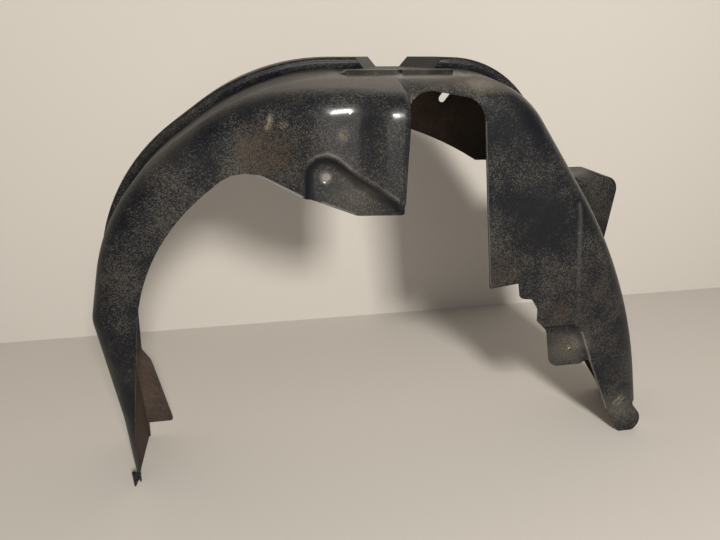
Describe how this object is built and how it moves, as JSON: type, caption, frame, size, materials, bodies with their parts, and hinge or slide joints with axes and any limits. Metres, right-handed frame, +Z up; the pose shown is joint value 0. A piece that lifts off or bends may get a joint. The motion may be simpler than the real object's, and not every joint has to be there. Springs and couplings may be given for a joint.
{
  "type": "wheel arch liner",
  "caption": "Moulded plastic wheel arch liner with a bulged inner wall, a strut notch, a raised roof band, a boxed rear shoulder and an outer lip, standing on its two legs.",
  "frame": {"origin": "centre of the liner's box in plan, on the floor that its two legs stand on", "axes": "+X along the car from the front leg to the rear leg, +Y from the inner wall out to the outer lip, +Z up"},
  "size_m": [0.7374, 0.197, 0.4925],
  "materials": {
    "liner_plastic": "worn black polypropylene sheet, half gloss on the bulge, with tan dust and scuffed creases"
  },
  "bodies": {
    "root": {"wheel_arch_liner": "liner_plastic"}
  },
  "joints": []
}
